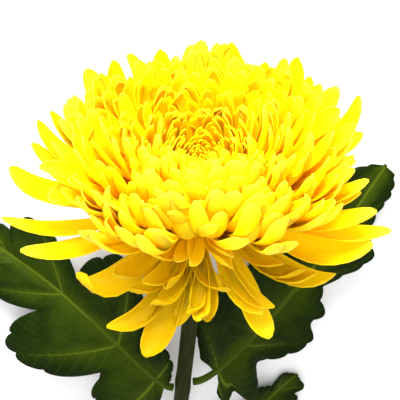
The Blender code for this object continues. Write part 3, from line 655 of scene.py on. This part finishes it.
def even_steps(path, count=60, fine_count=400):
    """Points a same distance apart along a curve, and its length."""
    fine = [bezier(path, k / fine_count) for k in range(fine_count + 1)]
    walked = [0.0]
    for a, b in zip(fine, fine[1:]):
        walked.append(walked[-1] + (b - a).length)
    points, k = [], 0
    for step in range(count + 1):
        goal = walked[-1] * step / count
        while k < len(fine) - 2 and walked[k + 1] < goal:
            k += 1
        share = (goal - walked[k]) / max(walked[k + 1] - walked[k], 1e-9)
        points.append(fine[k].lerp(fine[k + 1], min(1.0, share)))
    return points, walked[-1]


def along_line(line, share):
    """The point and direction at a share of the way along evenly spaced points."""
    x = clamp(share) * (len(line) - 1)
    k = min(int(x), len(line) - 2)
    before, after = line[max(0, k - 1)], line[min(len(line) - 1, k + 2)]
    return line[k].lerp(line[k + 1], x - k), (after - before).normalized()


def scallop(phase):
    """One rounded tooth after another along a leaf's edge, in blade lengths."""
    return SCALLOP * (abs(math.sin(math.pi * phase)) ** SCALLOP_ROUND - 0.5)


def lobed_rows(blade, widen, inner):
    """Rows of a leaf: midrib place, then angle, reach and tooth of the two halves."""
    rows = []
    for lobe, (start, end, reach, angle_0, angle_1, notch) in enumerate(LOBES):
        next_notch = LOBES[lobe + 1][5] if lobe + 1 < len(LOBES) else 0.0
        for step in range(LOBE_ROWS):
            k = step / LOBE_ROWS
            low = notch + (next_notch - notch) * k
            swell = math.sin(math.pi * k) ** LOBE_ROUND
            place = start + (end - start) * k
            tooth = scallop(SCALLOPS * k) * (1 - SCALLOP_FALL * start)
            tooth *= min(1.0, FADE_OUT * (1 - place))
            out = min(low + (reach - low) * swell, TIP_ROUND * (1 - place)) * blade * widen
            tooth *= blade * widen if step else 0.0
            angle = math.radians(angle_0 + (angle_1 - angle_0) * k)
            share = inner * min(1.0, INNER_BASE + INNER_GROWTH * place)
            rows.append((place, (angle, out, tooth), (angle, out * share, tooth * share)))
    rows.append((1.0, (0.0, 0.0, 0.0), (0.0, 0.0, 0.0)))
    return rows


def smooth_row(place):
    """The broad leaf's table read smoothly at a place along the midrib."""
    k = max(k for k in range(len(BROAD_ROWS) - 1) if k == 0 or BROAD_ROWS[k][0] <= place)
    t = (place - BROAD_ROWS[k][0]) / (BROAD_ROWS[k + 1][0] - BROAD_ROWS[k][0])
    around = [BROAD_ROWS[max(0, min(len(BROAD_ROWS) - 1, k + step))] for step in (-1, 0, 1, 2)]
    return [b + 0.5 * t * (c - a + t * (2 * a - 5 * b + 4 * c - d + t * (3 * (b - c) + d - a)))
            for a, b, c, d in zip(*around)]


def broad_rows(blade):
    """Rows of the broad leaf, with teeth that fade at its base and tip."""
    rows = []
    for step in range(BROAD_STEPS + 1):
        place = step / BROAD_STEPS
        _, outer, outer_reach, inner, inner_reach = smooth_row(place)
        tooth = BROAD_SCALLOP * scallop(BROAD_TEETH * place) * blade
        tooth *= clamp(FADE_IN * place) * clamp(FADE_OUT * (1 - place))
        rows.append((place, (math.radians(outer), max(0.0, outer_reach), tooth),
                     (math.radians(inner), max(0.0, inner_reach), tooth)))
    return rows


def leaf_rows(name, blade, widen, inner):
    """A leaf's rows, and the lateral veins of its outer half and its half by the bloom."""
    if name == BROAD_LEAF:
        return broad_rows(blade), BROAD_VEINS
    foot, tip = LOBE_VEIN
    veins = [(start + foot * (end - start), start + tip * (end - start))
             for start, end, *_ in LOBES]
    return lobed_rows(blade, widen, inner), (veins, veins)


def make_blade(name, line, petiole, side, blade, widen, inner, wave):
    """The lobed and toothed blade with its sunken veins, as a sheet with a thickness."""
    rows, veins = leaf_rows(name, blade, widen, inner)
    bm = bmesh.new()
    bmesh.ops.create_grid(bm, x_segments=LEAF_COLUMNS, y_segments=len(rows) - 1, size=1)
    marks = bm.verts.layers.float_color.new("leaf")
    for vert in bm.verts:
        row = round((vert.co.y + 1) / 2 * (len(rows) - 1))
        q = vert.co.x
        half = 1 if q * side < 0 else 0
        s = rows[row][0]
        angle, reach, tooth = rows[row][1 + half]
        here, along = along_line(line, petiole + (1 - petiole) * s)
        across = along.cross(Vector((0, 0, 1))).normalized()
        normal = across.cross(along)
        edge = abs(q)
        out = reach * edge + tooth * edge ** SCALLOP_DEPTH
        from_vein = blade * min(abs(s - foot - (end - foot) * edge ** VEIN_CURVE)
                                for foot, end in veins[half])
        quilt = (QUILT * (1 - math.exp(-(from_vein / QUILT_REACH) ** 2))
                 * math.sin(math.pi * edge) ** QUILT_ROUND)
        groove = GROOVE * math.exp(-(out / GROOVE_REACH) ** 2) * (1 - s)
        lift = (LIFT * out - DROOP * out * out + quilt - groove
                + WAVE * edge * math.sin(WAVES * s + wave + 2 * q)
                + RUFFLE * edge ** 3 * math.sin(RUFFLES * s + 5 * q + wave))
        vert[marks] = (out, from_vein, s, edge)
        vert.co = (here + along * (out * math.cos(angle))
                   + across * (math.copysign(out, q) * math.sin(angle)) + normal * lift)
        above_surface(vert.co, LEAF_SOFT, LEAF_REACH)
        vert.co.z += BLADE_THICK + BLADE_CLEAR
    bmesh.ops.remove_doubles(bm, verts=bm.verts, dist=1e-3)
    if sum(face.normal.z * face.calc_area() for face in bm.faces) < 0:
        bmesh.ops.reverse_faces(bm, faces=bm.faces)
    return thicken(finished(bm, name.replace("leaf", "blade")), BLADE_THICK, -1)


def make_petiole(name, line, petiole):
    """The leaf's stalk, which runs on under the blade as its midrib."""
    length = petiole + PETIOLE_UNDER * (1 - petiole)
    shares = [k / PETIOLE_STEPS for k in range(PETIOLE_STEPS + 1)]
    points = [along_line(line, k * length)[0] - Vector((0, 0, PETIOLE_SUNK * k))
              for k in shares]
    bm = bmesh.new()
    tube(bm, points, lambda share, turn: PETIOLE_R * (1 - PETIOLE_TAPER * share ** 0.6),
         PETIOLE_SIDES)
    return finished(bm, name.replace("leaf", "petiole"), outward=True)


def make_leaf(name, along_stem, side, tip, sag, bow, blade, widen, inner, wave):
    """A leaf's blade and its petiole, on one curve from the stem to the leaf's tip."""
    line, total = even_steps(leaf_path(along_stem, side, tip, sag, bow, blade))
    petiole = 1 - blade / total
    return (make_blade(name, line, petiole, side, blade, widen, inner, wave),
            make_petiole(name, line, petiole))


class Wire:
    """One output of a material's nodes; arithmetic on it adds the Math nodes."""

    def __init__(self, finish, socket):
        self.finish = finish
        self.socket = socket

    def math(self, operation, *values):
        return self.finish.add("ShaderNodeMath", {"operation": operation}, self, *values)

    def __add__(self, other):
        return self.math("ADD", other)

    __radd__ = __add__

    def __sub__(self, other):
        return self.math("SUBTRACT", other)

    def __rsub__(self, other):
        return self.finish.add("ShaderNodeMath", {"operation": "SUBTRACT"}, other, self)

    def __mul__(self, other):
        return self.math("MULTIPLY", other)

    __rmul__ = __mul__

    def __truediv__(self, other):
        return self.math("DIVIDE", other)


class Finish:
    """A material under construction."""

    def __init__(self, name, **sockets):
        self.material = bpy.data.materials.new(name)
        self.material.use_nodes = True
        self.tree = self.material.node_tree
        self.shader = self.tree.nodes["Principled BSDF"]
        for label, value in sockets.items():
            self.shader.inputs[label.replace("_", " ")].default_value = value

    def plug(self, value, socket):
        if isinstance(value, Wire):
            self.tree.links.new(value.socket, socket)
        elif isinstance(value, tuple) and len(value) == 3 and socket.type == "RGBA":
            socket.default_value = (*value, 1)
        else:
            socket.default_value = value

    def add(self, kind, settings, *values, out=0, **named):
        """Any node: its settings first, then the values or links of its sockets."""
        node = self.tree.nodes.new(kind)
        for label, value in settings.items():
            setattr(node, label, value)
        for socket, value in zip(node.inputs, values):
            self.plug(value, socket)
        for label, value in named.items():
            self.plug(value, node.inputs[label])
        return Wire(self, node.outputs[out])

    def mix(self, a, b, share):
        node = self.tree.nodes.new("ShaderNodeMix")
        node.data_type = "RGBA"
        for value, index in ((share, 0), (a, 6), (b, 7)):
            self.plug(value, node.inputs[index])
        return Wire(self, node.outputs[2])

    def rise(self, value, low, high):
        """0 below low, 1 above high, smooth between."""
        return self.add("ShaderNodeMapRange", {"interpolation_type": "SMOOTHSTEP"},
                        value, low, high, 0.0, 1.0)

    def marks(self, name):
        """The four numbers that a mesh carries at each point."""
        node = self.tree.nodes.new("ShaderNodeAttribute")
        node.attribute_name = name
        split = self.add("ShaderNodeSeparateColor", {}, Wire(self, node.outputs["Color"]))
        outputs = split.socket.node.outputs
        return [Wire(self, outputs[k]) for k in range(3)] + [Wire(self, node.outputs["Alpha"])]

    def mark(self, name):
        """The one number that a mesh carries at each point."""
        return self.add("ShaderNodeAttribute", {"attribute_name": name}, out=2)

    def place(self):
        return self.add("ShaderNodeTexCoord", {}, out=3)

    def noise(self, scale):
        return self.add("ShaderNodeTexNoise", {}, Vector=self.place(), Scale=scale,
                        Detail=3.0, Roughness=0.55)

    def bump(self, height, strength, distance):
        normal = self.add("ShaderNodeBump", {}, Strength=strength, Distance=distance,
                          Height=height)
        self.plug(normal, self.shader.inputs["Normal"])

    def feed(self, **sockets):
        for label, value in sockets.items():
            self.plug(value, self.shader.inputs[label.replace("_", " ")])
        return self.material


def petal_finish():
    """Clear yellow, orange at the claws (partly painted shade), painted shade in orange deep
    in the bloom and darker where the petals hang under the rim, and painted highlights pale at
    the tips and rims."""
    finish = Finish("petal_yellow", Specular_IOR_Level=0.04, Subsurface_Weight=0.5,
                    Subsurface_Radius=(0.005, 0.003, 0.0004), Subsurface_Scale=1.0)
    along, across, place, depth = finish.marks("petal")
    draw = finish.mark("petal_draw")
    cloud = finish.noise(260.0)
    claw = 1 - finish.rise(along, 0.05, 0.55)
    eye = 1 - finish.rise(place, 0.02, 0.14)
    # Painted shade on the petals that hang under the rim
    hanging_shade = finish.rise(place, 0.95, 1.0)
    tip = finish.rise(along + 0.12 * cloud, 0.82, 1.06)
    # Painted highlight along the rims
    rim = (finish.rise((across - 0.5).math("ABSOLUTE"), 0.41, 0.5)
           * finish.rise(along, 0.4, 0.8))
    # Painted highlights only where a petal lies open to the light, neither deep nor hanging
    highlight_share = ((1 - finish.rise(depth, 0.02, 0.3)) * (1 - 0.8 * hanging_shade)
               * (0.15 + 0.85 * finish.rise(place, 0.1, 0.4)))
    colour = finish.mix(*CLEAR_YELLOWS, draw)
    # Orange at the claws: their own colour and partly painted shade
    colour = finish.mix(colour, CLAW_ORANGE_AND_SHADE,
                        claw * (0.2 + 0.4 * finish.rise(place, 0.1, 0.45)))
    # Painted shade: orange where the point lies deep in the bloom
    colour = finish.mix(colour, DEEP_SHADE_ORANGE, finish.rise(depth, 0.2, 1.1)
                        * (0.3 + 0.45 * finish.rise(place, 0.1, 0.5)))
    colour = finish.mix(colour, EYE_AMBER, eye * 0.5)
    # Painted shade: darker where the petals hang under the rim
    colour = finish.mix(colour, HANGING_SHADE_YELLOW, hanging_shade * (1 - 0.15 * along))
    # Painted highlight: pale at the exposed tips and rims
    colour = finish.mix(colour, finish.mix(PALE_TIP_HIGHLIGHT, SHADED_TIP_HIGHLIGHT, hanging_shade),
                        tip.math("MAXIMUM", rim * 0.6) * highlight_share * 0.6)
    lines = (across * 62.0 + cloud * 2.0).math("SINE")
    finish.bump(lines * 0.5 + finish.noise(900.0) * 0.6, 0.22, 0.00025)
    return finish.feed(Base_Color=colour, Roughness=0.34 + 0.16 * cloud)


def receptacle_finish():
    finish = Finish("receptacle_amber", Roughness=0.6)
    return finish.feed(Base_Color=finish.mix(*RECEPTACLE_AMBERS, finish.noise(500.0)))


def bract_finish():
    """Green scales with a pale papery edge and a dry brown tip."""
    finish = Finish("calyx_green", Roughness=0.55)
    along, across, _, draw = finish.marks("petal")
    edge = finish.rise((across - 0.5).math("ABSOLUTE"), 0.33, 0.47)
    colour = finish.mix(*BRACT_GREENS, draw)
    colour = finish.mix(colour, PAPER_EDGE, edge * 0.7)
    colour = finish.mix(colour, DRY_TIP, finish.rise(along, 0.8, 1.0) * 0.6)
    finish.bump(finish.noise(1400.0), 0.3, 0.0002)
    return finish.feed(Base_Color=colour)


def cup_finish():
    finish = Finish("cup_green", Roughness=0.55)
    finish.bump(finish.noise(1200.0), 0.3, 0.0002)
    return finish.feed(Base_Color=finish.mix(*CUP_GREENS, finish.noise(400.0)))


def stem_finish():
    """Dark green in streaks along the stem, and browner towards its cut."""
    finish = Finish("stem_green", Specular_IOR_Level=0.05)
    along, turn, _, _ = finish.marks("stem")
    angle = turn * (2 * math.pi)
    streaks = finish.add("ShaderNodeTexNoise", {}, Scale=1.0, Detail=4.0, Vector=finish.add(
        "ShaderNodeCombineXYZ", {}, along * 16.0, angle.math("COSINE") * 5.0,
        angle.math("SINE") * 5.0))
    colour = finish.mix(*STEM_GREENS, finish.rise(streaks, 0.35, 0.65))
    colour = finish.mix(colour, WOODY_BROWN, finish.rise(along, 0.55, 1.0) * 0.55)
    finish.bump(streaks + 0.5 * finish.noise(1500.0), 0.35, 0.0003)
    return finish.feed(Base_Color=colour, Roughness=0.42 + 0.2 * streaks)


def leaf_finish():
    """Dark leathery green: olive along the veins, darker at the edge, in a fine net."""
    finish = Finish("leaf_green", Specular_IOR_Level=0.04)
    out, from_vein, along, edge = finish.marks("leaf")
    midrib = 1 - finish.rise(out, 0.25, 1.05)
    lateral = 1 - finish.rise(from_vein + edge * 0.35, 0.25, 0.95)
    lateral = lateral * finish.rise(1 - edge, 0.0, 0.3)
    branch = ((out - from_vein * 1.1) / 5.0).math("FRACT")
    branch = 1 - finish.rise((branch - 0.5).math("ABSOLUTE"), 0.0, 0.09)
    veins = midrib.math("MAXIMUM", lateral * 0.75).math("MAXIMUM", branch * 0.14)
    veins = veins * (1 - 0.6 * along)
    net = finish.add("ShaderNodeTexVoronoi", {"feature": "DISTANCE_TO_EDGE"}, Scale=900.0,
                     Vector=finish.place())
    net = 1 - finish.rise(net, 0.0, 0.12)
    near = 1 - finish.rise(out.math("MINIMUM", from_vein * 1.5), 0.5, 7.0)
    cloud = finish.rise(finish.noise(70.0), 0.3, 0.7)
    colour = finish.mix(*LEAF_GREENS, cloud)
    colour = finish.mix(colour, NEAR_VEIN_GREEN, near * 0.45)
    colour = finish.mix(colour, EDGE_GREEN, finish.rise(edge, 0.3, 0.95) * 0.8)
    colour = finish.mix(colour, VEIN_OLIVE, veins * 0.75)
    finish.bump(finish.noise(700.0) * 0.4 - net * 0.35 - veins * 1.2, 0.55, 0.0004)
    return finish.feed(Base_Color=colour, Roughness=0.34 + 0.2 * cloud)


def petiole_finish():
    finish = Finish("petiole_green", Roughness=0.45, Specular_IOR_Level=0.05)
    finish.bump(finish.noise(1500.0), 0.3, 0.0002)
    return finish.feed(Base_Color=finish.mix(*PETIOLE_GREENS, finish.noise(300.0)))


def dress(piece, material, slot, *nodes):
    """Finish a piece, let it ride with the flower, and hide the solids it stands for."""
    piece.data.materials.append(material)
    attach(piece, "root")
    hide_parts(*nodes)


def make_flower():
    eye, dome = [], []
    for index in range(SPIRAL_COUNT + FILLING_COUNT + EYE_FILLING_COUNT):
        petal = spiral_petal(index)
        if petal["place"] < EYE_TO:
            eye.append(petal)
        elif petal["place"] <= last_place(petal["round"]):
            dome.append(petal)
    under = [outer_petal(number, row) for number, row in enumerate(OUTER_PETALS)]
    far = bloom_reach(eye + dome + under)
    yellow = petal_finish()
    for name, petals in (("petals_eye", eye), ("petals_dome", dome), ("petals_under", under)):
        dress(petal_sheets(name, petals, far), yellow, "petal_yellow", "bloom")
    dress(turned_solid("receptacle", DOME_PROFILE), receptacle_finish(), "petal_yellow",
          "bloom")
    dress(turned_solid("cup", CUP_PROFILE), cup_finish(), "calyx_green", "calyx")
    dress(make_bracts(), bract_finish(), "calyx_green", "calyx")
    dress(make_stem(), stem_finish(), "stem_green", "stem")
    green, stalk_green = leaf_finish(), petiole_finish()
    for row in LEAVES:
        blade, stalk = make_leaf(*row)
        dress(blade, green, "leaf_green", row[0])
        dress(stalk, stalk_green, "leaf_green", row[0])


def place_camera():
    """The photo's view: from above the stem, down on the bloom's eye."""
    back = TOP * math.cos(VIEW_RISE) + AXIS * math.sin(VIEW_RISE)
    up = -TOP * math.sin(VIEW_RISE) + AXIS * math.cos(VIEW_RISE)
    right = up.cross(back)
    far = 2 * PHOTO_MIDDLE * PIXEL / VIEW_SENSOR * VIEW_LENS
    aim = (RECEPTACLE + SET_DOWN - right * (BLOOM_PIXEL[0] - PHOTO_MIDDLE) * PIXEL
           + up * (BLOOM_PIXEL[1] - PHOTO_MIDDLE) * PIXEL)
    eye = (aim + back * far) * MM
    camera = bpy.data.objects.new("camera", bpy.data.cameras.new("camera"))
    bpy.context.scene.collection.objects.link(camera)
    camera.data.lens = VIEW_LENS
    camera.data.sensor_width = VIEW_SENSOR
    camera.data.clip_start, camera.data.clip_end = VIEW_CLIP
    camera.matrix_world = Matrix((
        (right.x, up.x, back.x, eye.x),
        (right.y, up.y, back.y, eye.y),
        (right.z, up.z, back.z, eye.z),
        (0, 0, 0, 1)))
    bpy.context.scene.camera = camera


def soft_light(name, where, size, power):
    lamp = bpy.data.lights.new(name, "AREA")
    lamp.size, lamp.energy = size, power
    holder = bpy.data.objects.new(name, lamp)
    bpy.context.scene.collection.objects.link(holder)
    where = Vector(where)
    aim = (RECEPTACLE + SET_DOWN) * MM
    holder.location = aim + where
    holder.rotation_mode = "QUATERNION"
    holder.rotation_quaternion = where.to_track_quat("Z", "Y")


def make_studio():
    """A pale floor, soft lights and an even white world."""
    bm = bmesh.new()
    bmesh.ops.create_grid(bm, x_segments=1, y_segments=1, size=FLOOR_HALF)
    mesh = bpy.data.meshes.new("floor")
    bm.to_mesh(mesh)
    bm.free()
    floor = bpy.data.objects.new("floor", mesh)
    bpy.context.scene.collection.objects.link(floor)
    mesh.materials.append(Finish("floor_white", Roughness=0.8).feed(Base_Color=FLOOR_WHITE))
    for light in LIGHTS:
        soft_light(*light)
    world = bpy.data.worlds.new("studio")
    world.use_nodes = True
    background = world.node_tree.nodes["Background"]
    background.inputs["Color"].default_value = (1, 1, 1, 1)
    background.inputs["Strength"].default_value = WORLD_LIGHT
    bpy.context.scene.world = world
    bpy.context.scene.view_settings.view_transform = "Standard"


make_flower()
place_camera()
make_studio()
